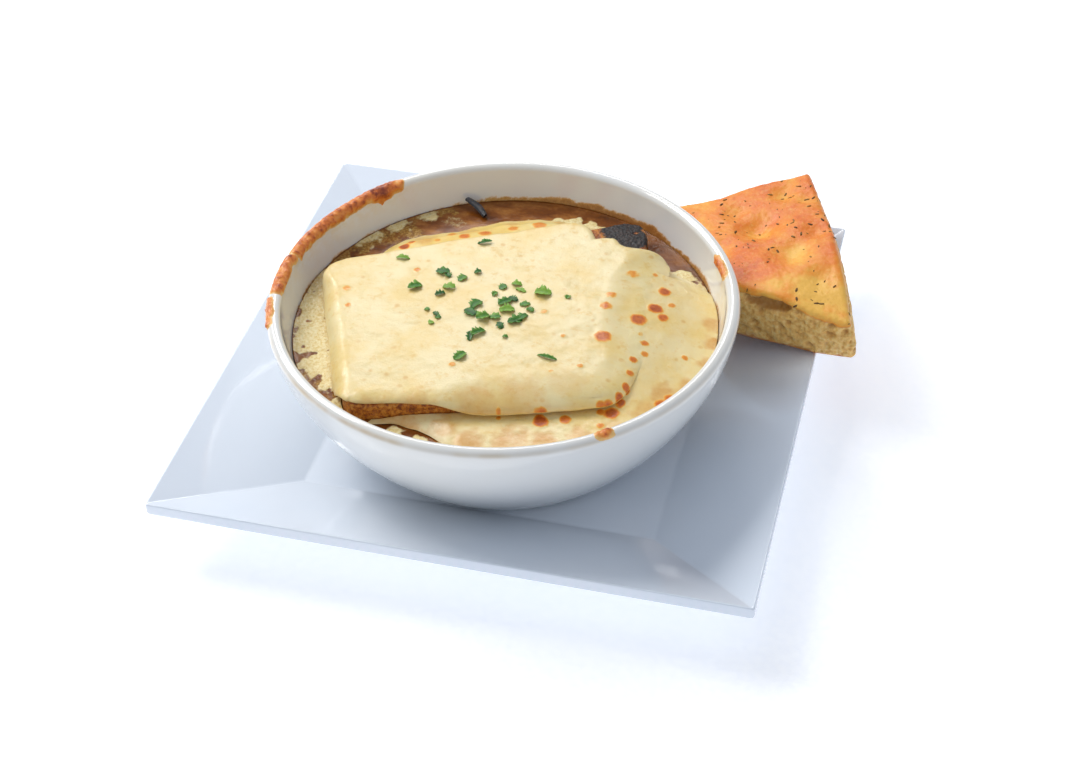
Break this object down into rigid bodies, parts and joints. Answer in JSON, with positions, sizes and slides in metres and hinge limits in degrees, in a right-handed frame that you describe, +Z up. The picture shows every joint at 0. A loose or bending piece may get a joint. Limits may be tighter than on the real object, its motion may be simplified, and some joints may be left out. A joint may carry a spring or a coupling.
{
  "type": "french onion soup",
  "caption": "Bowl of onion soup under melted cheese and toast, on a square plate with a wedge of flat bread.",
  "frame": {"origin": "the middle of the plate's flat underside, on the table", "axes": "+Z up; the plate's sides run along X and Y, and the bread hangs over the plate's edge on the +X side"},
  "size_m": [0.2443, 0.2311, 0.0658],
  "materials": {
    "plate_glaze": "gloss",
    "bowl_glaze": "gloss",
    "broth": "gloss",
    "toast_crumb": "matte",
    "pale_cheese": "satin",
    "yellow_cheese": "satin",
    "baked_cheese": "satin",
    "burnt": "satin",
    "bread_crust": "satin",
    "parsley": "satin"
  },
  "bodies": {
    "root": {"plate": "plate_glaze", "bowl": "bowl_glaze", "broth": "broth", "toast": "toast_crumb", "cheese_top": "pale_cheese", "cheese_back": "yellow_cheese", "cheese_flow": "yellow_cheese", "burnt_onion": "burnt", "bread": "bread_crust"}
  },
  "joints": []
}
